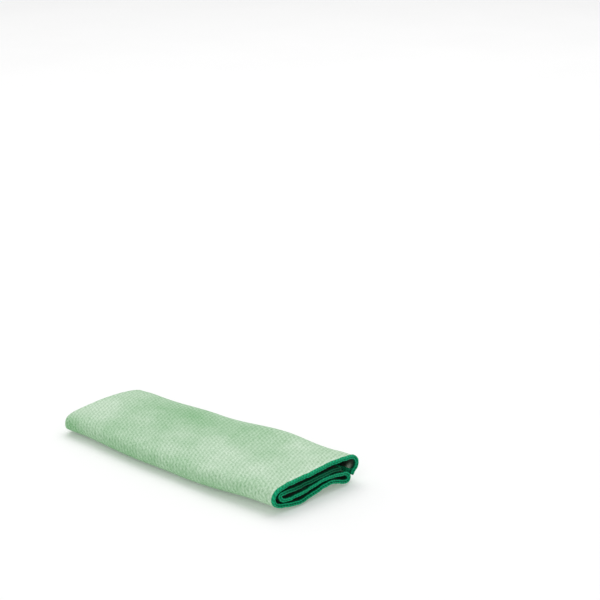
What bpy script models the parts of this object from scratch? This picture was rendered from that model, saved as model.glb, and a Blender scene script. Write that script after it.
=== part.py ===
"""A folded microfibre cleaning cloth, lying flat.

The cloth is one sheet, 404 mm by about 292 mm, with an overlocked hem all round.  It is folded
once across, which gives two plies with the fold at -X and both hems at +X.  The two plies then
go back and forth together in the YZ plane, as four layers: top, bottom, lower inner and upper
inner, which ends inside the bundle.  The other end turns down over the back side (+Y) in a
small open roll.

Frame: X runs along the folded bundle to its hemmed end, Y across it from the big front
fold (-Y) to the back side (+Y), Z is up, and the underside rests on z = 0.
"""

import math
from collections import namedtuple

import bpy
import numpy as np

MM = 0.001

# ---------------------------------------------------------------- driving dimensions, in metres
CLOTH_LENGTH = 404 * MM  # length of the sheet before it is folded across
HEM_X = CLOTH_LENGTH / 4  # the hemmed end, half a folded length from the middle
FOLD_X = -HEM_X - 3.5 * MM  # the folded end bulges a little past the half length
PLY = 1.0 * MM  # thickness of one ply of cloth
PLY_GAP = 0.25 * MM  # air between the two plies of a layer
BEAD_WIDTH = 1.8 * MM  # width of the overlocked hem
BEAD_EXTRA = 0.3 * MM  # how much thicker one ply is along its overlocked hem
BEAD_FADE = (0.75, 1.15)  # shares of the hem's width between which that bead fades out

FRONT_CORNER = 11.0 * MM  # how far the folded end draws back at the front corner
BACK_CORNER = 9.5 * MM  # and at the back corner
CORNER_START = 23 * MM  # the folded end is straight within this distance of the middle
CORNER_END = 41 * MM  # the half width where the corners have drawn back all the way
CORNER_ROUND = 0.98  # 1 would make each corner a full quarter of an ellipse
FRONT_BOW = 0.6 * MM  # how far the big front fold bows out between the two ends
BOW_MIDDLE = -15 * MM  # where it bows out most
BOW_LENGTH = 240 * MM  # length of the bow from end to end
BOW_DEPTH = 40 * MM  # the bow fades from this far forward to the middle of the bundle
PUFF = 3.9 * MM  # how far the back side bulges out where the layers puff up
PUFF_LIFT = 2.5 * MM  # and how far the top layer rises there
PUFF_MIDDLE = 31 * MM  # where it bulges most
PUFF_LENGTH = 110 * MM  # length of the bulge from end to end
PUFF_DEPTH = 34 * MM  # it fades from this far back to the middle of the bundle
TIP_PRESS = 0.94  # the layers lie this much closer together at the folded end
TIP_LENGTH = 14 * MM  # length of that pressed end
SWELL = 0.45 * MM  # height of the soft waves on the top layer
SWELL_ALONG = 88 * MM  # length of one wave along the bundle
SWELL_ACROSS = 95 * MM  # and across it
SWELL_SLANT = 260 * MM  # the waves move across by one over this length
SWELL_START = 0.1  # share of a wave at x = 0

# The layers in the order in which the sheet passes through them, from the edge on the back
# side to the inner edge: the Y of a layer's first and of its last point, then the height
# of its underside at five even steps from first to last, in millimetres.
Layer = namedtuple("Layer", "y_first y_last z_0 z_1 z_2 z_3 z_4")
LAYERS_AT_HEM = {
    "back_roll": Layer(35.4, 36.8, 4.7, 5.5, 6.3, 7.1, 7.9),
    "top": Layer(34.1, -28.8, 17.5, 18.4, 18.0, 17.2, 16.3),
    "bottom": Layer(-28.6, 30.0, 3.4, 1.0, 3.2, 6.5, 1.4),
    "lower_inner": Layer(26.0, -25.0, 8.4, 10.3, 8.5, 6.8, 6.1),
    "upper_inner": Layer(-28.6, 26.8, 12.1, 11.3, 12.2, 13.4, 12.4),
}
LAYERS_AT_MIDDLE = {
    "back_roll": Layer(34.4, 36.0, 3.8, 3.8, 3.8, 3.9, 4.0),
    "top": Layer(31.5, -32.6, 14.3, 15.3, 15.6, 14.8, 12.9),
    "bottom": Layer(-31.2, 29.0, 0.9, 0.0, 0.0, 0.0, 0.3),
    "lower_inner": Layer(28.5, -27.6, 4.4, 3.3, 3.0, 3.0, 3.9),
    "upper_inner": Layer(-27.1, 29.0, 8.3, 7.8, 8.2, 8.6, 8.8),
}
LAYERS_AT_FOLD = {
    "back_roll": Layer(33.0, 34.6, 3.5, 3.5, 3.5, 3.6, 3.7),
    "top": Layer(30.5, -31.6, 13.3, 14.6, 14.6, 13.5, 11.8),
    "bottom": Layer(-29.3, 28.5, 1.6, 0.1, 0.0, 0.0, 0.2),
    "lower_inner": Layer(28.0, -26.1, 4.1, 2.9, 2.8, 2.9, 4.2),
    "upper_inner": Layer(-25.6, 28.0, 8.0, 7.1, 7.2, 7.6, 7.8),
}
HEM_STATION_X = HEM_X
MIDDLE_STATION_X = (-18 * MM, 12 * MM)  # the middle shape holds between these two
FOLD_STATION_X = -88 * MM

# How far each layer's hem stands back from the hemmed end in millimetres, and the share of
# the hem's bead that it shows.
Hem = namedtuple("Hem", "setback bead")
HEMS = {
    "back_roll": Hem(0.6, 0.8),
    "top": Hem(0.0, 1.0),
    "bottom": Hem(0.6, 0.9),
    "lower_inner": Hem(0.3, 1.0),
    "upper_inner": Hem(0.8, 0.3),
}

# Each fold is half an ellipse from one layer to the next: how deep it is for its half height,
# the way that it points along Y, and its mesh steps for each span between control points.
Fold = namedtuple("Fold", "depth side steps")
FOLDS = {
    ("back_roll", "top"): Fold(0.9, 1, 2),
    ("top", "bottom"): Fold(1.25, -1, 3),
    ("bottom", "lower_inner"): Fold(1.3, 1, 2),
    ("lower_inner", "upper_inner"): Fold(1.3, -1, 2),
}
FOLD_ANGLES = (45, 90, 135)  # degrees round a fold at its control points
FOLD_SPREAD = 1.08  # a fold's control points stand out this much more than its curve

LAYER_POINTS = {  # control points along each layer
    "back_roll": 2,
    "top": 9,
    "bottom": 9,
    "lower_inner": 8,
    "upper_inner": 8,
}
HEM_STEPS = (0.0, 1.1 * MM, 2.2 * MM, 5.2 * MM)  # mesh columns, as distances from the hem
BODY_STEPS = (0.09, 0.18, 0.28, 0.38, 0.49, 0.60, 0.71, 0.81, 0.90, 0.96, 1.0)  # of the rest
ARC_ANGLES = (45, 90, 135)  # degrees round the fold across the sheet

CLOTH_GREEN = (0.42, 0.68, 0.43, 1.0)
CLOTH_ROUGHNESS = 0.85


def remove_everything():
    """Empties the scene of its objects."""
    for old in list(bpy.data.objects):
        bpy.data.objects.remove(old, do_unlink=True)


def smooth_step(value):
    """Goes from 0 to 1 with level ends, and stays there outside."""
    t = min(max(value, 0.0), 1.0)
    return t * t * (3 - 2 * t)


def layer_at(name, x):
    """Y of the layer's ends and its five underside heights at a place along the bundle."""
    near = smooth_step((x - MIDDLE_STATION_X[1]) / (HEM_STATION_X - MIDDLE_STATION_X[1]))
    far = smooth_step((MIDDLE_STATION_X[0] - x) / (MIDDLE_STATION_X[0] - FOLD_STATION_X))
    row = (
        near * np.array(LAYERS_AT_HEM[name])
        + (1.0 - near - far) * np.array(LAYERS_AT_MIDDLE[name])
        + far * np.array(LAYERS_AT_FOLD[name])
    )
    return row[:2] * MM, row[2:] * MM


def bead_share(from_hem):
    """1 along the overlocked hem, fading to 0 where the hem ends."""
    start, end = BEAD_FADE
    return 1.0 - smooth_step((from_hem / BEAD_WIDTH - start) / (end - start))


def half_layer(name, from_hem):
    """Half the thickness of a layer of two plies, at a distance from the hem."""
    return PLY_GAP / 2 + PLY + BEAD_EXTRA * HEMS[name].bead * bead_share(from_hem)


def swell(x, y):
    """Soft uneven waves that the top layer keeps from its folding."""
    along = math.sin(2 * math.pi * (x / SWELL_ALONG + SWELL_START))
    across = np.cos(2 * math.pi * (y / SWELL_ACROSS - x / SWELL_SLANT))
    return SWELL * along * across


def puff(x, y):
    """Share of the back side's bulge: a squared cosine along, fading towards the front."""
    along = math.cos(math.pi * min(abs(x - PUFF_MIDDLE) / PUFF_LENGTH, 0.5)) ** 2
    return along * np.clip(y / PUFF_DEPTH, 0, 1) ** 2


def fold_points(before, after, fold):
    """Control points (y, z, setback, bead) of half an ellipse from one layer to the next."""
    half_height = abs(after[1] - before[1]) / 2
    points = []
    for angle in np.radians(FOLD_ANGLES):
        share = (1 - math.cos(angle)) / 2
        point = before + (after - before) * (0.5 + FOLD_SPREAD * (share - 0.5))
        point[0] = before[0] + (after[0] - before[0]) * share
        point[0] += fold.side * fold.depth * FOLD_SPREAD * half_height * math.sin(angle)
        points.append(point)
    return points


def control_points(x, from_hem):
    """The layers' middle line in the YZ plane as (y, z, setback, bead) control points."""
    layers = {}
    for name, count in LAYER_POINTS.items():
        (y_first, y_last), heights = layer_at(name, x)
        share = np.linspace(0, 1, count)
        y = y_first + (y_last - y_first) * share
        z = np.interp(share, np.linspace(0, 1, len(heights)), heights)
        z = z + half_layer(name, from_hem)
        if name == "top":
            z = z + swell(x, y) + PUFF_LIFT * puff(x, y)
        setback = np.full(count, HEMS[name].setback * MM)
        bead = np.full(count, HEMS[name].bead)
        layers[name] = np.stack([y, z, setback, bead], axis=1)
    names = list(LAYER_POINTS)
    points = list(layers[names[0]])
    for name, following in zip(names, names[1:]):
        fold = FOLDS[(name, following)]
        points += fold_points(layers[name][-1], layers[following][0], fold)
        points += list(layers[following])
    return np.array(points)


def spline_rows():
    """Weights of an open cubic B-spline over the control points, and of its slope.

    There is one row for each mesh step: one step for a span along a layer, and the fold's own
    number for a span round it.
    """
    names = list(LAYER_POINTS)
    spans = [1] * (LAYER_POINTS[names[0]] - 1)
    for name, following in zip(names, names[1:]):
        spans += [FOLDS[(name, following)].steps] * (len(FOLD_ANGLES) + 1)
        spans += [1] * (LAYER_POINTS[following] - 1)
    count = len(spans) + 1
    places = [0.0]
    for i, steps in enumerate(spans):
        places += [i + (k + 1) / steps for k in range(steps)]
    weights = np.zeros((len(places), count))
    slopes = np.zeros((len(places), count))
    for row, place in enumerate(places):
        i = min(int(place), count - 2)
        t = place - i
        basis = (
            (1 - t) ** 3 / 6,
            (3 * t**3 - 6 * t**2 + 4) / 6,
            (-3 * t**3 + 3 * t**2 + 3 * t + 1) / 6,
            t**3 / 6,
        )
        slope = (
            -((1 - t) ** 2) / 2,
            (3 * t**2 - 4 * t) / 2,
            (-3 * t**2 + 2 * t + 1) / 2,
            t**2 / 2,
        )
        for k in range(4):
            j = min(max(i - 1 + k, 0), count - 1)
            weights[row, j] += basis[k]
            slopes[row, j] += slope[k]
    return weights, slopes


def press(z, floor, x):
    """Draws the layers together towards the bottom one at the folded end."""
    end = smooth_step((FOLD_X + TIP_LENGTH - x) / TIP_LENGTH)
    return floor + (z - floor) * (1 - (1 - TIP_PRESS) * end)


def folded_end(y):
    """X of the folded end for each place across the bundle, drawn back at its corners."""
    share = np.clip((np.abs(y) - CORNER_START) / (CORNER_END - CORNER_START), 0, 1)
    corner = np.where(y < 0, FRONT_CORNER, BACK_CORNER)
    return FOLD_X + corner * (1 - np.sqrt(1 - CORNER_ROUND * share**2))


def bow(x, y):
    """How far the front side bows out: half a cosine wave along, fading towards the back."""
    along = math.cos(math.pi * (x - BOW_MIDDLE) / BOW_LENGTH)
    return FRONT_BOW * along * np.clip(-y / BOW_DEPTH, 0, 1) ** 2


def sheet_grid():
    """Points of the sheet's middle surface as a grid, with the thickness at each: x, y, z, ply.

    Rows follow the layers back and forth.  Columns start at the upper ply's hem, run to the
    folded end, round the fold, and back along the other ply to its hem.
    """
    weights, slopes = spline_rows()
    body_start = HEM_X - HEM_STEPS[-1]
    places = [(HEM_X - step, step, 0.0) for step in HEM_STEPS]
    for share in BODY_STEPS:
        nominal = body_start + share * (FOLD_X - body_start)
        places.append((nominal, HEM_X - nominal, share))
    columns = []
    for nominal, from_hem, share in places:
        points = control_points(nominal, from_hem)
        y, z, setback, bead = (weights @ points).T
        slope = slopes @ points[:, :2]
        slope /= np.linalg.norm(slope, axis=1)[:, None]
        y = y - bow(nominal, y) + PUFF * puff(nominal, y)
        z = press(z, PLY_GAP / 2 + PLY, nominal)
        near_x = HEM_X - setback - min(from_hem, HEM_STEPS[-1])
        far_x = folded_end(y) + (PLY_GAP + PLY) / 2
        x = near_x + share * (far_x - near_x)
        ply = PLY + BEAD_EXTRA * bead * bead_share(from_hem)
        out = (PLY_GAP + ply) / 2
        columns.append((x, y, z, -slope[:, 1] * out, slope[:, 0] * out, ply))
    upper = [(x, y + out_y, z + out_z, ply) for x, y, z, out_y, out_z, ply in columns]
    lower = [(x, y - out_y, z - out_z, ply) for x, y, z, out_y, out_z, ply in columns]
    arc = []
    x, y, z, out_y, out_z, ply = columns[-1]
    for angle in np.radians(ARC_ANGLES):
        side = math.cos(angle)
        arc_x = x - (PLY_GAP + PLY) / 2 * math.sin(angle)
        arc.append((arc_x, y + out_y * side, z + out_z * side, ply))
    return np.array(upper + arc + lower[::-1]).transpose(2, 0, 1)


def cloth_material():
    """Matt light green microfibre."""
    material = bpy.data.materials.new("light green microfibre")
    material.use_nodes = True
    shader = material.node_tree.nodes["Principled BSDF"]
    shader.inputs["Base Color"].default_value = CLOTH_GREEN
    shader.inputs["Roughness"].default_value = CLOTH_ROUGHNESS
    shader.inputs["Metallic"].default_value = 0.0
    return material


def folded_cloth(collection):
    """The sheet's middle surface, given its thickness and its thicker hem by Solidify."""
    grid = sheet_grid()
    count_rows, count_columns = grid.shape[:2]
    number = np.arange(count_rows * count_columns).reshape(count_rows, count_columns)
    corners = (number[:-1, :-1], number[1:, :-1], number[1:, 1:], number[:-1, 1:])
    faces = np.stack(corners, axis=-1).reshape(-1, 4)
    mesh = bpy.data.meshes.new("folded_cloth")
    mesh.from_pydata(grid[:, :, :3].reshape(-1, 3).tolist(), [], faces.tolist())
    cloth = bpy.data.objects.new("folded_cloth", mesh)
    collection.objects.link(cloth)
    mesh.materials.append(cloth_material())

    thickest = PLY + BEAD_EXTRA
    group = cloth.vertex_groups.new(name="thickness")
    for index, ply in enumerate(grid[:, :, 3].reshape(-1)):
        group.add([index], float(ply / thickest), "REPLACE")
    solidify = cloth.modifiers.new("thickness", "SOLIDIFY")
    solidify.thickness = thickest
    solidify.offset = 0.0
    solidify.vertex_group = group.name
    mesh.shade_smooth()


def main():
    """Makes the collection and the cloth in it."""
    remove_everything()
    collection = bpy.data.collections.new("folded_microfibre_cloth")
    bpy.context.scene.collection.children.link(collection)
    folded_cloth(collection)


main()
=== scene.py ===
"""A folded microfibre cloth with an overlocked edge: its looks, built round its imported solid.

The cloth is one sheet, folded once across and then back and forth into a flat bundle.  One
function, sheet_points, gives the place of any point of the flat sheet once it is folded.  X runs
along the bundle to its hemmed end, Y across it to the back side, Z is up, and it rests on z = 0.
"""

import math
from collections import namedtuple

import bpy
import numpy as np
from mathutils import Euler, Matrix, Vector


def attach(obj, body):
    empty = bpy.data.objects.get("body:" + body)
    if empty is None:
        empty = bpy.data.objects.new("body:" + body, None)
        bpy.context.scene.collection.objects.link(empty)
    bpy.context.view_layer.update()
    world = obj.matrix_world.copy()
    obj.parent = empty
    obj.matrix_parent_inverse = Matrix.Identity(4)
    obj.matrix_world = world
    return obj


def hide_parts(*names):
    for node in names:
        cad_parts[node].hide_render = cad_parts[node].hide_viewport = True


bl_info = {
    "name": "Folded microfibre cloth",
    "version": (1, 0, 0),
    "blender": (4, 5, 0),
    "location": "3D View > Sidebar > Cloth",
    "description": "Makes a folded microfibre cloth, its overlocked edge and a plain studio",
    "category": "Add Mesh",
}

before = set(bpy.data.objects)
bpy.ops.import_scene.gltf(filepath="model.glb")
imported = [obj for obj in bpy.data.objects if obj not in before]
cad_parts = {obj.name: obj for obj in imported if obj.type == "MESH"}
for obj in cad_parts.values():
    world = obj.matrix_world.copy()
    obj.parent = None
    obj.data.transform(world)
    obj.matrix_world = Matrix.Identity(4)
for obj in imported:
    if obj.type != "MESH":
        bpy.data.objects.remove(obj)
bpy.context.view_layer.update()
CAD_NODE = "folded_cloth"

MM = 0.001
TAU = 2 * math.pi

# ---- how the sheet is folded
# The layers in the sheet's own order, from its edge on the back side to its edge inside the
# bundle: the Y of a layer's first and last point, then the height of its underside at five even
# steps from first to last, in millimetres.
HEIGHTS = 5
LAYERS_AT_HEM = {
    "back_roll": (35.4, 36.8, 4.7, 5.5, 6.3, 7.1, 7.9),
    "top": (34.1, -28.8, 17.5, 18.4, 18.0, 17.2, 16.3),
    "bottom": (-28.6, 30.0, 3.4, 1.0, 3.2, 6.5, 1.4),
    "lower_inner": (26.0, -25.0, 8.4, 10.3, 8.5, 6.8, 6.1),
    "upper_inner": (-28.6, 26.8, 12.1, 11.3, 12.2, 13.4, 12.4),
}
LAYERS_AT_MIDDLE = {
    "back_roll": (34.4, 36.0, 3.8, 3.8, 3.8, 3.9, 4.0),
    "top": (31.5, -32.6, 14.3, 15.3, 15.6, 14.8, 12.9),
    "bottom": (-31.2, 29.0, 0.9, 0.0, 0.0, 0.0, 0.3),
    "lower_inner": (28.5, -27.6, 4.4, 3.3, 3.0, 3.0, 3.9),
    "upper_inner": (-27.1, 29.0, 8.3, 7.8, 8.2, 8.6, 8.8),
}
LAYERS_AT_FOLD = {
    "back_roll": (33.0, 34.6, 3.5, 3.5, 3.5, 3.6, 3.7),
    "top": (30.5, -31.6, 13.3, 14.6, 14.6, 13.5, 11.8),
    "bottom": (-29.3, 28.5, 1.6, 0.1, 0.0, 0.0, 0.2),
    "lower_inner": (28.0, -26.1, 4.1, 2.9, 2.8, 2.9, 4.2),
    "upper_inner": (-25.6, 28.0, 8.0, 7.1, 7.2, 7.6, 7.8),
}
MIDDLE_STATION_X = (-18 * MM, 12 * MM)  # the middle shape holds between them
FOLD_STATION_X = -88 * MM

# How far each layer's hem stands back in millimetres, and the share of the hem's full
# thickness that it shows.
Hem = namedtuple("Hem", "setback bead")
HEMS = {
    "back_roll": Hem(0.6, 0.8),
    "top": Hem(0.0, 1.0),
    "bottom": Hem(0.6, 0.9),
    "lower_inner": Hem(0.3, 1.0),
    "upper_inner": Hem(0.8, 0.3),
}

# Each fold is half an ellipse between two layers: its depth for its half height, the way that
# it points along Y, and its mesh steps for each span between control points.
Fold = namedtuple("Fold", "depth side steps")
FOLDS = {
    ("back_roll", "top"): Fold(0.9, 1, 5),
    ("top", "bottom"): Fold(1.25, -1, 6),
    ("bottom", "lower_inner"): Fold(1.3, 1, 4),
    ("lower_inner", "upper_inner"): Fold(1.3, -1, 4),
}
FOLD_ANGLES = (45, 90, 135)  # degrees round a fold at its control points
FOLD_SPREAD = 1.08  # a fold's control points stand out this much more than its curve
# Control points along each layer.
LAYER_POINTS = {"back_roll": 2, "top": 9, "bottom": 9, "lower_inner": 8, "upper_inner": 8}
LAYER_STEPS = 4  # mesh steps for each span along a layer
EDGE_LENGTH = 5.2 * MM  # the part of a ply beside its hem, which moves with its setback

FRONT_CORNER = 11.0 * MM  # how far the folded end draws back at the front corner
BACK_CORNER = 9.5 * MM  # and at the back corner
CORNER_START = 23 * MM  # it is straight within this distance of the middle
CORNER_END = 41 * MM  # and has drawn back all the way here
CORNER_ROUND = 0.98  # 1 would make each corner a full quarter of an ellipse
FRONT_BOW = 0.6 * MM  # how far the big front fold bows out between the two ends
BOW_MIDDLE = -15 * MM  # where it bows out most
BOW_LENGTH = 240 * MM  # its length from end to end
BOW_DEPTH = 40 * MM  # it fades from this far forward to the middle of the bundle
PUFF = 3.9 * MM  # how far the back side bulges out where the layers puff up
PUFF_LIFT = 2.5 * MM  # and how far the top layer rises there
PUFF_MIDDLE = 31 * MM
PUFF_LENGTH = 110 * MM
PUFF_DEPTH = 34 * MM  # it fades from this far back to the middle of the bundle
TIP_PRESS = 0.94  # the layers lie this much closer together at the folded end
TIP_LENGTH = 14 * MM
SWELL = 0.45 * MM  # height of the soft waves on the top layer
SWELL_ALONG = 88 * MM  # length of one along the bundle
SWELL_ACROSS = 95 * MM  # and across it
SWELL_SLANT = 260 * MM  # they move across by one over this length
SWELL_START = 0.1

# Soft troughs and ridges of the top and front, in millimetres: the middle's place along the
# bundle and its distance over the cloth from the top's middle towards the front, half the
# length and width, the turn in degrees from the bundle's length, and the height.
CREASES = (
    (-12, 24, 48, 8, -3, 0.34),
    (-30, 8, 40, 9, -8, -0.30),
    (30, 12, 34, 10, 10, 0.26),
    (-34, -24, 24, 8, 8, -0.42),
    (-84, -12, 11, 20, 0, 0.30),
    (-72, 18, 13, 10, 25, -0.34),
    (44, -14, 30, 9, 6, -0.28),
    (89, 0, 5, 34, 0, 0.34),
    (74, 18, 8, 18, 12, -0.26),
    (-48, 46, 20, 6, 4, 0.30),
    (-8, 50, 16, 5, -5, -0.32),
    (36, 45, 22, 5, 5, 0.28),
    (78, 48, 12, 5, -6, -0.26),
    (-82, 42, 9, 7, 0, -0.26),
)
CREASE_REACH = (-46 * MM, 62 * MM)  # they lie between these two distances from the top's middle
CREASE_FADE = 12 * MM  # and fade over this much at either end
# Patches of brushed pile and of painted light and shade: their height is 1 where the cloth is
# palest and -1 where it is deepest green.  The rows 41 mm or more towards the front are painted
# shade down the front side and under it, the row at 98.2 mm along is a painted highlight just
# before the hem, and the other rows are patches where the pile lies another way.
NAP_AND_LIGHT_PATCHES = (
    (-97, 2, 16, 28, 0, 0.65),
    (-84, 14, 14, 14, 0, 0.25),
    (-44, -20, 40, 12, 0, -0.75),
    (-20, -8, 24, 9, 0, -0.35),
    (20, -20, 26, 12, 0, -0.3),
    (66, -24, 18, 12, 0, 0.5),
    (82, -8, 14, 14, 0, 0.3),
    (-30, 4, 10, 8, 0, -0.2),
    (-14, 14, 10, 8, 0, 0.3),
    (18, 10, 18, 8, 10, 0.4),
    (56, 0, 10, 8, 0, -0.2),
    (50, 16, 26, 12, 10, 0.5),
    (30, 24, 14, 7, 0, 0.3),
    (72, 24, 18, 9, 0, 0.4),
    (0, 28, 10, 6, 0, 0.35),
    (-58, 24, 12, 12, 0, -0.3),
    (-84, 26, 12, 8, 0, 0.3),
    (40, 34, 12, 4, 0, 0.3),
    (-98, 36, 10, 6, 0, -0.5),
    (-20, 41, 90, 5, 0, -0.3),
    (-50, 49, 70, 7, 0, -1.0),
    (50, 49, 40, 7, 0, -0.7),
    (-99, 45, 8, 7, 0, -0.9),
    (92, 4, 7, 40, 0, 0.4),
    (98.2, 0, 1.6, 40, 0, 1.0),
)

# Painted shade on the faces inside the bundle, at places counted in control points: how dark the
# inner ply is, in the open roll and past it, and how dark the hem is, from the start of the last
# inner layer.
Dark = namedtuple("Dark", "place share")
ROLL_DARK = (Dark(2.0, 0.96), Dark(6.0, 1.0))
FREE_END_DARK = (Dark(-1.0, 0.0), Dark(2.0, 0.72), Dark(5.5, 0.78), Dark(7.0, 0.97))
INNER_FADE = 2.0  # both plies darken over this much before the inner layers
# Painted light: a pale spot inside the open roll, where the painted shade is taken away.
LitSpot = namedtuple("LitSpot", "place reach from_hem hem_reach")
ROLL_LIGHT = LitSpot(1.3, 1.0, 4.6 * MM, 1.7 * MM)  # where light falls into the open roll
TIP_LIT = 10 * MM  # nothing is dark this near to the fold across
TIP_FADE = 6 * MM

Wave = namedtuple("Wave", "length height")  # in millimetres
HEM_WAVES = (Wave(31.0, 0.25), Wave(12.7, 0.14), Wave(7.1, 0.06))  # the hem's uneven line
HEM_WAVE_REACH = 24 * MM  # how far in from the hem those waves fade
PLY_SLIP = 0.5 * MM  # the inner ply's hem stands back by this much
BEAD_END = 0.75  # the hem's bead fades from this share of its width
BEAD_FADE = 0.4  # over this much of it
PUCKERS = (Wave(8.3, 0.07), Wave(5.1, 0.05))  # the pull of the stitching beside the hem
PUCKER_REACH = 9 * MM
WAVE_SHIFT = 1.7  # each wave of a set starts this many radians further on

# Mesh columns along the sheet, close beside the hems and the fold across.
Columns = namedtuple("Columns", "hem outer tip turn inner")
COLUMNS = Columns(16, 71, 6, 8, 39)
HEM_SPAN = 16 * MM
TIP_SPAN = 8 * MM
FINE_PLACES = 3000  # places at which the layers' line is looked up
LINE_STEPS = 40  # steps for each control point at which it is measured

# The overlock stitches, whose heights go from 0 on the crushed cloth to 1 on a crest.
STITCH_DRIFT = (Wave(23.0, 0.11), Wave(9.4, 0.07))  # uneven pitch, its height in stitches
STITCH_SLANT = 0.28 / MM  # stitches that a cross thread moves along on its way across
CROSS_THREADS = (0.52, 0.92)  # height between two cross threads and on one
Chain = namedtuple("Chain", "low high width")
EDGE_CHAIN = Chain(0.44, 1.0, 0.32 * MM)  # along the very edge
SEAM_CHAIN = Chain(0.64, 1.0, 0.25 * MM)  # along the band's inner side
SEAM_EXTRA = 0.3 * MM  # the band's width and this much round from the very edge
THREAD_SEAT = 0.02 * MM  # the lowest thread stands off the crushed cloth by this much
TUCK_SHARE = 0.98  # past this share of its width the band is tucked in
TUCK_DEPTH = 0.08 * MM
TUCK_CREST = 0.6
EDGE_ROUND = 0.8  # how far the threads stand out past the edge for their height
# The edging's painted shade, standing for the shade between the plies and in the folds.
EDGE_SHADE_WIDTH = 1.3 * MM  # the edging darkens over this much from the very edge
BACK_SHADE = 0.4  # how dark its inner face is
LONG_BEAD = 0.75  # share of the hem's full thickness along the two long edges
CRUSH_START = 0.4 * MM  # the cloth is crushed to within this much of the band's inner side
CRUSH_FADE = 1.0 * MM
# Painted light: the inner faces turn pale as far as their painted shade falls short of full.
INNER_PAINTED_LIGHT = 2.0  # how pale the inner faces are where light reaches them


def smooth_step(value):
    """Goes from 0 to 1 with level ends, and stays there outside."""
    t = np.clip(value, 0.0, 1.0)
    return t * t * (3 - 2 * t)


Bundle = namedtuple("Bundle", "hem_x fold_x half turn whole")


def bundle_sizes(sizes):
    """X of the bundle's two ends, and lengths along the sheet: of one ply, of the round fold
    across, and of the whole."""
    hem_x = sizes.cloth_length / 4
    fold_x = -hem_x - sizes.fold_bulge
    half = hem_x - fold_x
    turn = math.pi * (sizes.ply_gap + sizes.ply) / 2
    return Bundle(hem_x, fold_x, half, turn, 2 * half + turn)


def bead_share(sizes, from_hem):
    """1 along the overlocked hem, fading to 0 where the hem ends."""
    return 1.0 - smooth_step((from_hem / sizes.bead_width - BEAD_END) / BEAD_FADE)


def puff(x, y):
    """Share of the back side's bulge: a squared cosine along, fading towards the front."""
    along = np.cos(math.pi * np.minimum(np.abs(x - PUFF_MIDDLE) / PUFF_LENGTH, 0.5)) ** 2
    return along * np.clip(y / PUFF_DEPTH, 0, 1) ** 2


def control_points(sizes, x, from_hem):
    """The layers' middle line as control points: columns by points by (y, z, setback, bead).

    A layer's row is a blend of the three tables by smooth steps of x, its points lie straight
    between the five heights, and each fold adds points on half an ellipse.
    """
    hem_x = bundle_sizes(sizes).hem_x
    far_x, near_x = MIDDLE_STATION_X
    near = smooth_step((x - near_x) / (hem_x - near_x))[:, None]
    far = smooth_step((far_x - x) / (far_x - FOLD_STATION_X))[:, None]
    bead = bead_share(sizes, from_hem)[:, None]
    layers = {}
    for name, count in LAYER_POINTS.items():
        row = (
            near * np.array(LAYERS_AT_HEM[name])
            + (1.0 - near - far) * np.array(LAYERS_AT_MIDDLE[name])
            + far * np.array(LAYERS_AT_FOLD[name])
        ) * MM
        share = np.linspace(0, 1, count)
        hats = np.maximum(0, 1 - np.abs(share[:, None] * (HEIGHTS - 1) - np.arange(HEIGHTS)))
        y = row[:, :1] + (row[:, 1:2] - row[:, :1]) * share
        z = row[:, 2:] @ hats.T
        z = z + sizes.ply_gap / 2 + sizes.ply + sizes.bead_extra * HEMS[name].bead * bead
        if name == "top":
            along = np.sin(TAU * (x[:, None] / SWELL_ALONG + SWELL_START))
            z = z + SWELL * along * np.cos(TAU * (y / SWELL_ACROSS - x[:, None] / SWELL_SLANT))
            z = z + PUFF_LIFT * puff(x[:, None], y)
        setback = np.full_like(y, HEMS[name].setback * MM)
        layers[name] = np.stack([y, z, setback, np.full_like(y, HEMS[name].bead)], axis=2)
    names = list(LAYER_POINTS)
    parts = [layers[names[0]]]
    for name, following in zip(names, names[1:]):
        fold = FOLDS[(name, following)]
        before, after = layers[name][:, -1], layers[following][:, 0]
        half_height = np.abs(after[:, 1] - before[:, 1]) / 2
        for angle in np.radians(FOLD_ANGLES):
            share = (1 - math.cos(angle)) / 2
            point = before + (after - before) * (0.5 + FOLD_SPREAD * (share - 0.5))
            point[:, 0] = before[:, 0] + (after[:, 0] - before[:, 0]) * share
            point[:, 0] += fold.side * fold.depth * FOLD_SPREAD * half_height * math.sin(angle)
            parts.append(point[:, None])
        parts.append(layers[following])
    return np.concatenate(parts, axis=1)


# The weights of the four control points round a place, as rows of constant, linear, square and
# cubic terms of the share of the way between the middle two.
CUBIC_WEIGHTS = np.array([[1, 4, 1, 0], [-3, 0, 3, 0], [3, -6, 3, 0], [-1, 3, -3, 1]]) / 6


def row_places():
    """The mesh rows' places along the layers' line, counted in control points."""
    names = list(LAYER_POINTS)
    steps = [LAYER_STEPS] * (LAYER_POINTS[names[0]] - 1)
    for name, following in zip(names, names[1:]):
        steps += [FOLDS[(name, following)].steps] * (len(FOLD_ANGLES) + 1)
        steps += [LAYER_STEPS] * (LAYER_POINTS[following] - 1)
    spans = [i + np.arange(count) / count for i, count in enumerate(steps)]
    return np.concatenate(spans + [[len(steps)]])


def spline_weights(places, count):
    """Weights of an open cubic B-spline's control points at each place, and of its slope."""
    first = np.minimum(places.astype(int), count - 2)
    t = (places - first)[:, None]
    basis = t ** np.arange(4) @ CUBIC_WEIGHTS
    slope = np.arange(1, 4) * t ** np.arange(3) @ CUBIC_WEIGHTS[1:]
    index = np.clip(first[:, None] - 1 + np.arange(4), 0, count - 1)
    row = np.arange(len(places))[:, None]
    weights, slopes = np.zeros((2, len(places), count))
    np.add.at(weights, (row, index), basis)
    np.add.at(slopes, (row, index), slope)
    return weights, slopes


def layer_start(name):
    """Place of a layer's start along the layers' line, counted in control points."""
    names = list(LAYER_POINTS)
    before = names[: names.index(name)]
    return sum(LAYER_POINTS[other] + len(FOLD_ANGLES) for other in before)


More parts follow.
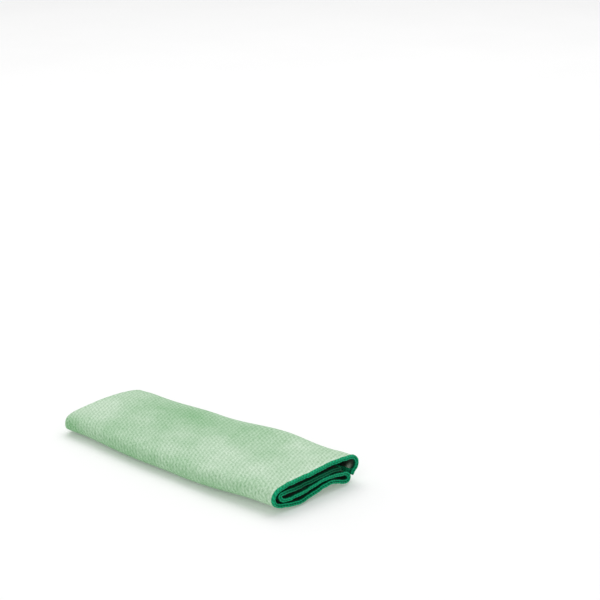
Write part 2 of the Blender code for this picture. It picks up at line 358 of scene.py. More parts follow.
def path_lengths(sizes, places, x, from_hem):
    """Length of the layers' line from its start to each place, in one section."""
    points = control_points(sizes, np.array([x]), np.array([from_hem]))[0, :, :2]
    fine = np.linspace(0, len(points) - 1, LINE_STEPS * len(points))
    line = spline_weights(fine, len(points))[0] @ points
    length = np.concatenate([[0], np.cumsum(np.linalg.norm(np.diff(line, axis=0), axis=1))])
    return np.interp(places, fine, length)


def flat_lengths(sizes, places):
    """Columns of distances over the cloth, from its first edge and from the top's middle."""
    top_middle = layer_start("top") + (LAYER_POINTS["top"] - 1) / 2
    half = bundle_sizes(sizes).half
    length = path_lengths(sizes, places, 0.0, half)[:, None]
    return length, length - path_lengths(sizes, np.array([top_middle]), 0.0, half)


def soft_patches(rows, x, front):
    """Sum of soft patches: each is its height times exp(-a^2 - b^2), where a and b are the
    distances along and across it in its half length and half width."""
    total = np.zeros(np.broadcast(x, front).shape)
    for middle_x, middle_front, half_length, half_width, turn, height in rows:
        cosine, sine = math.cos(math.radians(turn)), math.sin(math.radians(turn))
        dx, dy = x / MM - middle_x, front / MM - middle_front
        a = (dx * cosine + dy * sine) / half_length
        b = (dy * cosine - dx * sine) / half_width
        total = total + height * np.exp(-(a**2) - b**2)
    return total


def waves(rows, place):
    """Sum of sine waves of unlike lengths, each starting a little further on than the last."""
    total = np.zeros_like(place)
    for number, row in enumerate(rows):
        phase = TAU * place / (row.length * MM) + WAVE_SHIFT * number
        total = total + row.height * MM * np.sin(phase)
    return total


def painted_fold_shade(places, along, sizes):
    """Share of painted shade on the sheet, for how far inside the bundle it lies: 0 on its
    outside, 1 deep in the folds, and less where painted light falls into the open roll.

    The outer ply of the roll, top and bottom is outside, and the inner ply comes to light in
    the open roll and round the fold across.
    """
    bundle = bundle_sizes(sizes)
    tip = bundle.half + bundle.turn / 2
    layers = smooth_step((places - layer_start("lower_inner") + INNER_FADE) / INNER_FADE)
    first, last = ROLL_DARK
    roll = smooth_step((places - first.place) / (last.place - first.place))
    a = (places - ROLL_LIGHT.place) / ROLL_LIGHT.reach
    b = (bundle.whole - along - ROLL_LIGHT.from_hem) / ROLL_LIGHT.hem_reach
    plies = first.share + (last.share - first.share) * roll - np.exp(-(a**2) - b**2)
    plies = np.where(along < tip, 0.0, plies)
    near_tip = smooth_step((TIP_LIT - np.abs(along - tip)) / TIP_FADE)
    return np.maximum(layers, plies) * (1 - near_tip)


def place_along_bundle(sizes, along, from_hem, length, y, setback):
    """X of points of the folded sheet: it goes evenly from the hem, whose line is uneven and
    set back, to the folded end, whose corners draw back on part of an ellipse."""
    bundle = bundle_sizes(sizes)
    corner_share = np.clip((np.abs(y) - CORNER_START) / (CORNER_END - CORNER_START), 0, 1)
    corner = np.where(y < 0, FRONT_CORNER, BACK_CORNER)
    far_x = bundle.fold_x + corner * (1 - np.sqrt(1 - CORNER_ROUND * corner_share**2))
    far_x = far_x + (sizes.ply_gap + sizes.ply) / 2
    slip = waves(HEM_WAVES, length) + np.where(along > bundle.half, PLY_SLIP, 0.0)
    near_x = bundle.hem_x - setback - np.minimum(from_hem, EDGE_LENGTH)
    near_x = near_x - slip * np.exp(-from_hem / HEM_WAVE_REACH) * (from_hem < bundle.half)
    share = np.clip((from_hem - EDGE_LENGTH) / (bundle.half - EDGE_LENGTH), 0, 1)
    return near_x + share * (far_x - near_x)


def sheet_points(sizes, places, along):
    """Where points of the flat sheet lie once it is folded.

    places count control points along the layers' line, and along is the distance from the
    outer ply's hem, round the fold across, to the inner ply's hem.  The middle line of the two
    plies is the spline of its control points; soft creases and puckers push it along its
    normal; each ply lies half the gap and half its thickness to its own side.  Returns rows by
    columns of points, their normals, the line's directions, and the share of the hem's bead.
    """
    bundle = bundle_sizes(sizes)
    from_hem = np.minimum(np.minimum(along, bundle.whole - along), bundle.half)
    turn = np.clip((along - bundle.half) / bundle.turn, 0, 1) * math.pi
    nominal = bundle.hem_x - from_hem
    points = control_points(sizes, nominal, from_hem)
    weights, slopes = spline_weights(places, points.shape[1])
    y, z, setback, bead = np.moveaxis(weights @ points, 2, 0).transpose(0, 2, 1)
    slope = np.moveaxis(slopes @ points[:, :, :2], 2, 0).transpose(0, 2, 1)
    slope = slope / np.linalg.norm(slope, axis=0)
    out_y, out_z = slope[1], -slope[0]

    length, front = flat_lengths(sizes, places)
    first, last = CREASE_REACH
    window = smooth_step((front - first) / CREASE_FADE) * smooth_step((last - front) / CREASE_FADE)
    push = soft_patches(CREASES, nominal, front) * MM * window
    push = push + waves(PUCKERS, length) * np.exp(-from_hem / PUCKER_REACH)
    y = y + out_y * push
    z = z + out_z * push

    bow = FRONT_BOW * np.cos(math.pi * (nominal - BOW_MIDDLE) / BOW_LENGTH)
    y = y - bow * np.clip(-y / BOW_DEPTH, 0, 1) ** 2 + PUFF * puff(nominal, y)
    tip = smooth_step((bundle.fold_x + TIP_LENGTH - nominal) / TIP_LENGTH)
    lowest = sizes.ply_gap / 2 + sizes.ply
    z = lowest + (z - lowest) * (1 - (1 - TIP_PRESS) * tip)
    x = place_along_bundle(sizes, along, from_hem, length, y, setback)

    bead = bead * bead_share(sizes, from_hem)
    out = (sizes.ply_gap + sizes.ply + sizes.bead_extra * bead) / 2
    side, round_end = np.cos(turn), np.sin(turn)
    normals = np.stack(
        [np.broadcast_to(-round_end, y.shape), out_y * side, out_z * side], axis=2
    )
    flat_out = np.stack([-out * round_end, out_y * out * side, out_z * out * side], axis=2)
    middle = np.stack([x, y, z], axis=2)
    direction = np.stack([np.zeros_like(y), slope[0], slope[1]], axis=2)
    return middle + flat_out, normals, direction, bead


# ---- mesh helpers
def grid_faces(rows, columns, closed_rows=False):
    """Corner numbers of a grid's quads; closed_rows joins the last row to the first."""
    number = np.arange(rows * columns).reshape(rows, columns)
    if closed_rows:
        number = np.concatenate([number, number[:1]])
    corners = (number[:-1, :-1], number[1:, :-1], number[1:, 1:], number[:-1, 1:])
    return np.stack(corners, axis=-1).reshape(-1, 4)


def new_piece(name, points, faces, caps=()):
    """A mesh object at the origin, from arrays of points and of quads."""
    old = bpy.data.objects.get(name)
    if old is not None:
        bpy.data.objects.remove(old, do_unlink=True)
    mesh = bpy.data.meshes.new(name)
    mesh.from_pydata(points.reshape(-1, 3).tolist(), [], faces.tolist() + list(caps))
    piece = bpy.data.objects.new(name, mesh)
    bpy.context.scene.collection.objects.link(piece)
    mesh.shade_smooth()
    return piece


def add_uv(mesh, name, values):
    """Gives each corner of the mesh its point's two flat places."""
    corner_points = np.empty(len(mesh.loops), dtype=np.int32)
    mesh.loops.foreach_get("vertex_index", corner_points)
    layer = mesh.uv_layers.new(name=name)
    layer.data.foreach_set("uv", values.reshape(-1, 2)[corner_points].astype(np.float32).ravel())


def add_attribute(mesh, name, values):
    """Gives each point of the mesh a number."""
    attribute = mesh.attributes.new(name, "FLOAT", "POINT")
    attribute.data.foreach_set("value", values.astype(np.float32).ravel())


# ---- materials
# The knit's slanted ribs: distance, turn from the sheet's length in degrees, and share.
Rib = namedtuple("Rib", "length turn share")
KNIT_RIBS = (Rib(2.9 * MM, 22, 0.50), Rib(2.4 * MM, 63, 0.36), Rib(2.1 * MM, 136, 0.14))
LOOP_TURN = 22  # degrees too
LOOP_SCATTER = 0.5  # 0 would set the loops in even rows
LOOP_EDGE = (0.15, 0.75)  # distances from a loop's middle in pitches: its crest and its foot

# Shares of a finish's parts in its tone, and the sums that count as darkest and lightest.
KnitTone = namedtuple("KnitTone", "ribs loops grain fuzz low high")
KNIT_TONE = KnitTone(0.43, 0.34, 0.8, 0.5, 0.68, 1.38)
ThreadTone = namedtuple("ThreadTone", "twist fuzz low high")
THREAD_TONE = ThreadTone(0.1, 0.30, 0.28, 1.2)
THREAD_CREST_POWER = 1.5
THREAD_TWIST_TURN = 28
THREAD_TWIST_DEPTH = 0.08 * MM
NAP_MOTTLE = 0.25  # how far the nap varies by itself
# The knit's contrast follows both the pile's patches and the painted light and shade.
NAP_AND_LIGHT_CONTRAST = (0.72, 1.14)  # the knit's contrast where the nap lies deepest and palest
KNIT_ROUGHNESS = (0.95, 0.82)  # where the tone is darkest and lightest
THREAD_ROUGHNESS = (0.8, 0.55)  # between the threads and on their crests
KNIT_FUZZ_RELIEF = 0.7  # height of the fuzz, where the grain's is 1
KNIT_FINE_RELIEF = 0.4  # and of the two, where the loops' is 1
THREAD_FUZZ_RELIEF = 0.6  # where the twist's is 1
FINE_STRENGTH = 0.8
FLOOR_TINT = 0.985  # brightness of the floor's darkest patches
MIDDLE_NOISE = (0.3, 0.7)  # where most of a noise lies

# Features of each noise in a metre.
DRIFT_NOISE = 150.0
MOTTLE_NOISE = 55.0
GRAIN_NOISE = 800.0
FUZZ_NOISE = 1500.0
THREAD_NOISE = 160.0
THREAD_FUZZ_NOISE = 2600.0
FLOOR_NOISE = 6.0

WHITE = (1.0, 1.0, 1.0, 1.0)
KNIT_SHADER = {
    "Sheen Weight": 0.1,
    "Sheen Roughness": 0.45,
    "Sheen Tint": (0.86, 1.0, 0.86, 1.0),
    "Specular IOR Level": 0.25,
}
THREAD_SHADER = {"Specular IOR Level": 0.12}
# The floor's faint glow is painted light: it lifts the shadows on the floor and lights the cloth
# from below.
GLOWING_FLOOR_SHADER = {
    "Roughness": 0.7,
    "Emission Color": WHITE,
    "Emission Strength": 0.13,
    "Specular IOR Level": 0.2,
}


class NodeBuilder:
    """Fills a material of that name with new shader nodes and links them."""

    def __init__(self, name):
        self.material = bpy.data.materials.get(name) or bpy.data.materials.new(name)
        self.material.use_nodes = True
        self.tree = self.material.node_tree
        self.tree.nodes.clear()
        self.shader = self.node("ShaderNodeBsdfPrincipled")
        surface = {"Surface": self.shader.outputs["BSDF"]}
        self.node("ShaderNodeOutputMaterial", surface)

    def node(self, kind, inputs=None, **settings):
        """A new node with its settings; an input's value is a number, a colour or a socket."""
        made = self.tree.nodes.new(kind)
        for name, value in settings.items():
            setattr(made, name, value)
        self.fill(made, inputs or {})
        return made

    def fill(self, node, inputs):
        """Links a node's inputs to sockets, or sets them to numbers or colours."""
        for name, value in inputs.items():
            if isinstance(value, bpy.types.NodeSocket):
                self.tree.links.new(value, node.inputs[name])
            else:
                node.inputs[name].default_value = value

    def finished(self, inputs):
        """The material, with its shader's inputs linked or set."""
        self.fill(self.shader, inputs)
        return self.material

    def math(self, operation, *values):
        """One sum of one to three numbers or sockets."""
        inputs = dict(enumerate(values))
        return self.node("ShaderNodeMath", inputs, operation=operation).outputs[0]

    def total(self, parts):
        """The sum of sockets, each times its share."""
        total = 0.0
        for value, share in parts:
            total = self.math("MULTIPLY_ADD", value, share, total)
        return total

    def vector_math(self, operation, *values):
        """One sum of vectors: its vector, and its number."""
        inputs = dict(enumerate(values))
        return self.node("ShaderNodeVectorMath", inputs, operation=operation).outputs

    def mix(self, factor, first, second):
        """A colour between two colours or sockets."""
        inputs = {0: factor, 6: first, 7: second}
        return self.node("ShaderNodeMix", inputs, data_type="RGBA").outputs[2]

    def attribute(self, name):
        """A number that the mesh gives for each of its points."""
        return self.node("ShaderNodeAttribute", attribute_name=name).outputs["Fac"]

    def map_range(self, value, low, high, to_low=0.0, to_high=1.0):
        """A number moved from one range to another, and kept inside it."""
        inputs = {0: value, 1: low, 2: high, 3: to_low, 4: to_high}
        return self.node("ShaderNodeMapRange", inputs).outputs[0]

    def noise(self, vector, scale, detail=2.0, roughness=0.5):
        """Noise from 0 to 1 with that many features a metre."""
        inputs = {"Vector": vector, "Scale": scale, "Detail": detail, "Roughness": roughness}
        return self.node("ShaderNodeTexNoise", inputs).outputs

    def wave(self, vector, length, turn):
        """A sine from 0 to 1 with straight crests, its turn from U in degrees."""
        angle = math.radians(turn)
        direction = (TAU / length * math.cos(angle), TAU / length * math.sin(angle), 0.0)
        phase = self.vector_math("DOT_PRODUCT", vector, direction)["Value"]
        return self.math("MULTIPLY_ADD", self.math("SINE", phase), 0.5, 0.5)

    def turned(self, vector, turn):
        """A vector turned by that many degrees about its third axis."""
        inputs = {"Vector": vector, "Rotation": (0.0, 0.0, math.radians(turn))}
        return self.node("ShaderNodeMapping", inputs).outputs[0]

    def bump(self, height, distance, strength, normal=None):
        """The normal of a relief of that height in metres."""
        inputs = {"Height": height, "Distance": distance, "Strength": strength}
        if normal is not None:
            inputs["Normal"] = normal
        return self.node("ShaderNodeBump", inputs).outputs["Normal"]


def knit_material(looks):
    """Matt microfibre knit: slanted ribs of small loops, lighter on top and darker in the hollows
    as painted light and shade, with grain, fuzz, brushed patches where the pile lies another way,
    painted light and shade over those patches, and painted shade deep in the folds."""
    build = NodeBuilder("microfibre_knit")
    flat = build.node("ShaderNodeUVMap", uv_map="flat").outputs["UV"]
    drift = build.noise(flat, DRIFT_NOISE)["Color"]
    drift = build.vector_math("SUBTRACT", drift, (0.5, 0.5, 0.5))[0]
    place = build.vector_math("MULTIPLY_ADD", drift, (looks.knit_drift,) * 3, flat)[0]

    ribs = build.total((build.wave(place, rib.length, rib.turn), rib.share) for rib in KNIT_RIBS)
    loop_inputs = {
        "Vector": build.turned(place, LOOP_TURN),
        "Scale": 1 / looks.loop_pitch,
        "Randomness": LOOP_SCATTER,
    }
    from_loop = build.node("ShaderNodeTexVoronoi", loop_inputs, feature="F1").outputs["Distance"]
    loops = build.map_range(from_loop, *LOOP_EDGE, 1.0, 0.0)
    fuzz = build.noise(flat, FUZZ_NOISE, 3.0, 0.6)["Fac"]
    grain = build.noise(flat, GRAIN_NOISE, 1.5)["Fac"]
    mottle = build.noise(flat, MOTTLE_NOISE, 3.0, 0.55)["Fac"]

    share = KNIT_TONE
    parts = ((ribs, share.ribs), (loops, share.loops), (grain, share.grain), (fuzz, share.fuzz))
    tone = build.map_range(build.total(parts), share.low, share.high)
    mottle = build.map_range(mottle, *MIDDLE_NOISE, -NAP_MOTTLE, NAP_MOTTLE)
    # The pile's patches and painted light and shade from the mesh, with random mottle.
    nap_and_light = build.math("ADD", mottle, build.attribute("nap_and_light"))
    ground = build.mix(build.map_range(nap_and_light, -1.0, 1.0), looks.deep_green, looks.pale_green)
    # Painted light and shade on the knit's relief: ribs and loops lighter on top and darker in the
    # hollows, with random grain and fuzz.
    lift = build.map_range(tone, 0.0, 1.0, -looks.knit_contrast, looks.knit_contrast)
    lift = build.math("MULTIPLY", lift, build.map_range(nap_and_light, -1.0, 1.0, *NAP_AND_LIGHT_CONTRAST))
    colour = build.vector_math("ADD", ground, lift)[0]
    # Painted shade: the cloth turns to a near-black green deep in the folds.
    shade = build.math("MULTIPLY", build.attribute("shade"), looks.inner_shade)

    relief = build.bump(build.math("ADD", ribs, loops), looks.knit_relief, 1.0)
    fine = build.math("MULTIPLY_ADD", fuzz, KNIT_FUZZ_RELIEF, grain)
    depth = looks.knit_relief * KNIT_FINE_RELIEF
    return build.finished(
        {
            "Base Color": build.mix(shade, colour, looks.fold_shade_green),
            "Normal": build.bump(fine, depth, FINE_STRENGTH, relief),
            "Roughness": build.map_range(tone, 0.0, 1.0, *KNIT_ROUGHNESS),
            **KNIT_SHADER,
        }
    )


def thread_material(looks):
    """Dark green overlock thread: its own colour on its crests and painted shade between the
    threads and deep in the folds, with its twist as a fine slanted relief."""
    build = NodeBuilder("overlock_thread")
    flat = build.node("ShaderNodeUVMap", uv_map="stitches").outputs["UV"]
    crest = build.attribute("crest")
    twist = build.wave(flat, looks.thread_twist, THREAD_TWIST_TURN)
    fuzz = build.noise(flat, THREAD_FUZZ_NOISE, 3.0, 0.6)["Fac"]
    uneven = build.map_range(build.noise(flat, THREAD_NOISE)["Fac"], *MIDDLE_NOISE)
    # Painted shade between the threads: the lower the thread, the nearer to the dark green.
    crests = build.math("POWER", crest, THREAD_CREST_POWER)
    tone = build.total(((twist, THREAD_TONE.twist), (fuzz, THREAD_TONE.fuzz), (crests, 1.0)))
    tone = build.map_range(tone, THREAD_TONE.low, THREAD_TONE.high)
    lit = build.mix(uneven, looks.edging_green, looks.edging_light)
    colour = build.mix(tone, looks.thread_shade_green, lit)
    # Painted shade deep in the folds.
    shade = build.math("MULTIPLY", build.attribute("shade"), looks.inner_shade)
    relief = build.math("MULTIPLY_ADD", fuzz, THREAD_FUZZ_RELIEF, twist)
    return build.finished(
        {
            "Base Color": build.mix(shade, colour, looks.thread_shade_green),
            "Normal": build.bump(relief, THREAD_TWIST_DEPTH, FINE_STRENGTH),
            "Roughness": build.map_range(crest, 0.0, 1.0, *THREAD_ROUGHNESS),
            **THREAD_SHADER,
        }
    )


def floor_material(looks):
    """Plain pale floor with a barely uneven matt finish and a faint glow of its own, painted light
    that lifts the shadows on it.
    """
    build = NodeBuilder("pale_floor")
    place = build.node("ShaderNodeTexCoord").outputs["Object"]
    uneven = build.map_range(build.noise(place, FLOOR_NOISE)["Fac"], *MIDDLE_NOISE)
    tinted = (*(channel * FLOOR_TINT for channel in looks.floor[:3]), 1.0)
    return build.finished({"Base Color": build.mix(uneven, looks.floor, tinted), **GLOWING_FLOOR_SHADER})


# ---- the cloth and its edging
def sheet_columns(sizes):
    """Distances along the sheet for its mesh columns, even within each stretch of it."""
    bundle = bundle_sizes(sizes)
    lengths = (
        (HEM_SPAN, COLUMNS.hem),
        (bundle.half - TIP_SPAN, COLUMNS.outer),
        (bundle.half, COLUMNS.tip),
        (bundle.half + bundle.turn, COLUMNS.turn),
        (bundle.half + bundle.turn + TIP_SPAN, COLUMNS.tip),
        (bundle.whole - HEM_SPAN, COLUMNS.inner),
        (bundle.whole, COLUMNS.hem),
    )
    columns = [[0.0]]
    for end, count in lengths:
        columns.append(np.linspace(columns[-1][-1], end, count + 1)[1:])
    return np.concatenate(columns)


def make_cloth(sizes, looks):
    """The whole folded sheet: sheet_points on a grid, given its thickness by Solidify, which is
    thinner under the edging all round."""
    bundle = bundle_sizes(sizes)
    places = row_places()
    along = sheet_columns(sizes)
    points = sheet_points(sizes, places, along)[0]
    length, front = flat_lengths(sizes, places)
    cloth = new_piece("microfibre_cloth", points, grid_faces(len(places), len(along)))
    mesh = cloth.data

    add_uv(mesh, "flat", np.stack(np.broadcast_arrays(along, length), axis=2))
    x = bundle.hem_x - np.minimum(along, bundle.whole - along)
    # Painted shade: how far into the folds each point lies sets how dark its colour turns.
    shade = painted_fold_shade(places[:, None], along, sizes)
    outer = along < bundle.half + bundle.turn / 2
    # Painted light: inner faces where the painted shade is lifted are made pale.
    nap_and_light = np.where(outer, soft_patches(NAP_AND_LIGHT_PATCHES, x, front), INNER_PAINTED_LIGHT * (1 - shade))
    add_attribute(mesh, "nap_and_light", nap_and_light)
    add_attribute(mesh, "shade", shade)

    from_edge = np.minimum(along, along[-1] - along)
    from_edge = np.minimum(from_edge, np.minimum(length, length[-1] - length))
    fade = smooth_step((from_edge - sizes.bead_width + CRUSH_START) / CRUSH_FADE)
    thickness = np.round((1 - sizes.edge_crush) + sizes.edge_crush * fade, 3).ravel()
    group = cloth.vertex_groups.new(name="thickness")
    for value in np.unique(thickness):
        group.add(np.flatnonzero(thickness == value).tolist(), float(value), "REPLACE")
    solidify = cloth.modifiers.new("thickness", "SOLIDIFY")
    solidify.thickness = sizes.ply
    solidify.offset = 0.0
    solidify.vertex_group = group.name
    mesh.materials.append(knit_material(looks))
    return cloth


def between(ends, share):
    """A value between two ends."""
    return ends[0] + (ends[1] - ends[0]) * share


def stitch_relief(sizes, along_edge, across):
    """Height of the overlock threads from 0 to 1.

    along_edge is the distance along the edge, and across the distance round it from the very
    edge, negative on the inner face.  The cross threads are slanted round ridges; a chain of
    longer bumps runs along the very edge and another along the band's inner side.
    """
    drift = sum(row.height * np.sin(TAU * along_edge / (row.length * MM)) for row in STITCH_DRIFT)
    turns = along_edge / sizes.stitch_pitch + drift
    height = between(CROSS_THREADS, 0.5 - 0.5 * np.cos(TAU * (turns + STITCH_SLANT * across)))
    link = 0.5 * np.cos(TAU * turns)
    chains = ((EDGE_CHAIN, link, 0.0), (SEAM_CHAIN, -link, sizes.bead_width + SEAM_EXTRA))
    for chain, share, middle in chains:
        line = np.exp(-(((np.abs(across) - middle) / chain.width) ** 2))
        height = np.maximum(height, line * between((chain.low, chain.high), 0.5 + share))
    return np.clip(height, 0, 1)


# Points round the edging's section: in from the edge in shares of the band's width, then round
# the edge itself in degrees.
BAND_SHARES = (1.0, 0.97, 0.86, 0.72, 0.55, 0.38, 0.2, 0.06)
EDGE_ANGLES = (90, 60, 30, 0, -30, -60, -90)


def edging_tube(sizes, surface, edge_lengths, outer_face_shade=0.0, edge_shade=0.0):
    """Points, flat places, crests and shade of the edging along one edge of the sheet.

    surface gives the sheet's points, normals, outward directions and bead at distances in from
    the edge.  The section runs over the outer face, round the edge and back over the inner one;
    each point stands off the middle of the ply by its crushed half thickness and the threads'
    relief.  The painted shade grows from the very edge to the given share on the outer face and
    to BACK_SHADE on the inner one, and is edge_shade at least.
    """
    shares = np.array(BAND_SHARES)
    inward = np.concatenate([shares, np.zeros(len(EDGE_ANGLES)), shares[::-1]]) * sizes.bead_width
    face_angles = np.full(len(shares), 90.0)
    angles = np.radians(np.concatenate([face_angles, EDGE_ANGLES, -face_angles]))
    face = np.sign(np.round(np.sin(angles), 6))
    round_off = sizes.ply / 2 * (math.pi / 2 - np.abs(angles)) * (inward == 0)
    across = (face * (inward + sizes.ply / 2 * math.pi / 2 - round_off))[:, None]
    points, normals, outward, bead = surface(inward)
    relief = stitch_relief(sizes, edge_lengths, across)
    valley = sizes.ply / 2 * (1 - sizes.edge_crush) + THREAD_SEAT
    crest = sizes.ply / 2 + sizes.bead_extra / 2 * bead + sizes.ply_gap / 2 * (across < 0)
    tucked = (inward > TUCK_SHARE * sizes.bead_width)[:, None]
    lift = np.where(tucked, valley - TUCK_DEPTH, valley + (crest - valley) * relief)
    stand = lift * np.sin(angles)[:, None]
    beyond = lift * np.cos(angles)[:, None] * EDGE_ROUND
    placed = points + normals * stand[:, :, None] + outward * beyond[:, :, None]
    flat = np.stack(np.broadcast_arrays(edge_lengths, across), axis=2)
    depth = smooth_step(np.abs(across) / EDGE_SHADE_WIDTH)
    shade = np.maximum(np.where(across > 0, outer_face_shade, BACK_SHADE) * depth, edge_shade)
    return placed, flat, np.where(tucked, TUCK_CREST, relief), np.broadcast_to(shade, relief.shape)


def even_steps(sizes, length):
    """Even places along an edge, with the same number for each stitch."""
    return np.linspace(0, length, int(length / sizes.stitch_pitch * sizes.stitch_steps) + 1)


def measured_line(sizes, x, from_hem):
    """Close places along the layers' line and their distances from its start."""
    places = np.linspace(0, row_places()[-1], FINE_PLACES)
    return places, path_lengths(sizes, places, x, from_hem)


def hem_tube(sizes, inner):
    """Edging of one ply's hem, from the back roll to the end of the upper inner layer."""
    bundle = bundle_sizes(sizes)
    every, length = measured_line(sizes, bundle.hem_x, 0.0)
    steps = even_steps(sizes, length[-1])
    places = np.interp(steps, length, every)

    def surface(inward):
        along = bundle.whole - inward if inner else inward
        points, normals, _, bead = sheet_points(sizes, places, along)
        outward = np.zeros_like(points)
        outward[:, :, 0] = 1.0
        return (*(array.swapaxes(0, 1) for array in (points, normals, outward)), bead.T)

    hem = np.full_like(places, bundle.whole if inner else 0.0)
    # Painted shade on the hem: darker along the last inner layer and on its faces inside the bundle.
    rows = np.array(FREE_END_DARK)
    edge_shade = np.interp(places - layer_start("upper_inner"), rows[:, 0], rows[:, 1])
    return edging_tube(sizes, surface, steps, painted_fold_shade(places, hem, sizes), edge_shade)


def long_tube(sizes, last):
    """Edging of one long edge, round the fold across from hem to hem."""
    bundle = bundle_sizes(sizes)
    every, length = measured_line(sizes, 0.0, bundle.half)
    steps = even_steps(sizes, bundle.whole)

    def surface(inward):
        places = np.interp(length[-1] - inward if last else inward, length, every)
        points, normals, direction, _ = sheet_points(sizes, places, steps)
        outward = direction if last else -direction
        return points, normals, outward, np.full(points.shape[:2], LONG_BEAD)

    return edging_tube(sizes, surface, steps)


def make_edging(name, looks, tubes):
    """One piece of tubes, each a section carried along its edge and capped at its ends."""
    start, faces, caps = 0, [], []
    for placed, *_ in tubes:
        around, count = placed.shape[:2]
        faces.append(start + grid_faces(around, count, closed_rows=True))
        ring = start + np.arange(around) * count
        caps += [ring.tolist(), (ring[::-1] + count - 1).tolist()]
        start += around * count
    points, flat, crest, shade = (
        np.concatenate([array.reshape(array.shape[0] * array.shape[1], -1) for array in arrays])
        for arrays in zip(*tubes)
    )
    piece = new_piece(name, points, np.concatenate(faces), caps)
    add_uv(piece.data, "stitches", flat)
    add_attribute(piece.data, "crest", crest)
    add_attribute(piece.data, "shade", shade)
    piece.data.materials.append(thread_material(looks))
    return piece


# ---- the add-on
def number_property(name, description, default, **kind):
    """A number, with its unit or limits."""
    return bpy.props.FloatProperty(name=name, description=description, default=default, **kind)


def length_property(name, description, default):
    """A length in metres."""
    return number_property(name, description, default, unit="LENGTH", precision=5)


def share_property(name, description, default):
    """A share from 0 to 1."""
    return number_property(name, description, default, min=0, max=1, subtype="FACTOR")


def angle_property(name, description, degrees):
    """An angle, given in degrees."""
    return number_property(name, description, math.radians(degrees), subtype="ANGLE")


def colour_property(name, description, default):
    """A colour with its alpha."""
    return bpy.props.FloatVectorProperty(
        name=name, description=description, default=default, subtype="COLOR", size=4, min=0, max=1
    )


class ClothSizes(bpy.types.PropertyGroup):
    """Sizes of the sheet and its hem."""

    cloth_length: length_property("Cloth length", "Length of the sheet, folded across", 0.404)
    cloth_width: length_property("Cloth width", "Width of the sheet, folded back and forth", 0.292)
    fold_bulge: length_property("Fold bulge", "How far the folded end stands out", 0.0035)
    ply: length_property("Ply", "Thickness of one ply of cloth", 0.001)
    ply_gap: length_property("Gap", "Air between the two plies of a layer", 0.00025)
    bead_width: length_property("Hem width", "Width of the overlocked band", 0.0018)
    bead_extra: length_property("Hem thickness", "How much thicker one ply is at its hem", 0.0003)
    edge_crush: share_property("Crush", "Share of the ply that the stitching presses away", 0.2)
    stitch_pitch: length_property("Stitch pitch", "Distance between two cross threads", 0.0024)
    stitch_steps: bpy.props.IntProperty(
        name="Stitch steps", description="Mesh steps for each stitch", default=10, min=3, max=16
    )


class ClothLooks(bpy.types.PropertyGroup):
    """Colours and the small sizes of the knit and the thread."""

    # The cloth's two greens, mixed by the pile's patches and by painted light and shade.
    deep_green: colour_property("Deep green", "Cloth where its nap lies flat", (0.26, 0.5, 0.265, 1))
    pale_green: colour_property("Pale green", "Cloth where its nap stands up", (0.6, 0.755, 0.59, 1))
    # Painted shade: the near-black green that the cloth turns to deep in the folds.
    fold_shade_green: colour_property("Inner green", "Cloth deep in the folds", (0.002, 0.013, 0.005, 1))
    edging_green: colour_property("Edging", "Overlock thread", (0.001, 0.43, 0.185, 1))
    edging_light: colour_property("Edging, light", "Its lightest stretches", (0.003, 0.53, 0.245, 1))
    # Painted shade on the thread, between the threads and deep in the folds.
    thread_shade_green: colour_property("Edging, dark", "Between the threads", (0.0005, 0.06, 0.025, 1))
    floor: colour_property("Floor", "Pale floor", (0.86, 0.86, 0.86, 1))
    inner_shade: share_property("Inner shade", "How much darker the faces in the folds are", 0.97)
    # How strong the painted light and shade on the knit's bumps are.
    knit_contrast: share_property("Knit contrast", "How much lighter the knit's bumps are", 0.155)
    knit_drift: length_property("Knit drift", "How far the knit wanders", 0.0016)
    knit_relief: length_property("Knit relief", "Depth of the knit's bumps", 0.00022)
    loop_pitch: length_property("Loop pitch", "Distance between two rows of loops", 0.0013)
    thread_twist: length_property("Twist", "Distance between the turns of a thread's twist", 0.0004)


class StudioSettings(bpy.types.PropertyGroup):
    """The camera, fitted to the view of the bundle, and the soft lights."""

    azimuth: angle_property("Azimuth", "Turn of the camera's view from +Y towards -X", 43.6)
    elevation: angle_property("Elevation", "Angle at which the camera looks down", 17.08)
    distance: length_property("Distance", "From the camera to the point that it looks at", 1.5)
    aim: bpy.props.FloatVectorProperty(
        name="Aim", description="Point in the middle of the view",
        default=(-0.19375, 0.29551, 0.004), subtype="TRANSLATION", unit="LENGTH",
    )
    lens: number_property("Lens", "Focal length in millimetres", 104.71, unit="CAMERA")
    world_light: number_property("World light", "Strength of the even white surroundings", 0.6)
    top_light: number_property("Top light", "Watts of the softbox overhead", 42.0)
    front_light: number_property("Front light", "Watts of the softbox beside the camera", 12.0)


def declare_piece(piece):
    """Says that the piece belongs to the root body."""
    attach(piece, "root")


class MakeCloth(bpy.types.Operator):
    """Make the folded sheet of knitted microfibre in place of its solid"""

    bl_idname = "mesh.folded_microfibre_cloth"
    bl_label = "Folded cloth"

    def execute(self, context):
        cloth = make_cloth(context.scene.cloth_sizes, context.scene.cloth_looks)
        declare_piece(cloth)
        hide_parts(CAD_NODE)
        return {"FINISHED"}


class MakeHemEdging(bpy.types.Operator):
    """Make the overlock stitching on the two hems at the hemmed end"""

    bl_idname = "mesh.overlocked_hems"
    bl_label = "Overlocked hems"

    def execute(self, context):
        sizes = context.scene.cloth_sizes
        tubes = [hem_tube(sizes, inner) for inner in (False, True)]
        edging = make_edging("hem_edging", context.scene.cloth_looks, tubes)
        declare_piece(edging)
        return {"FINISHED"}


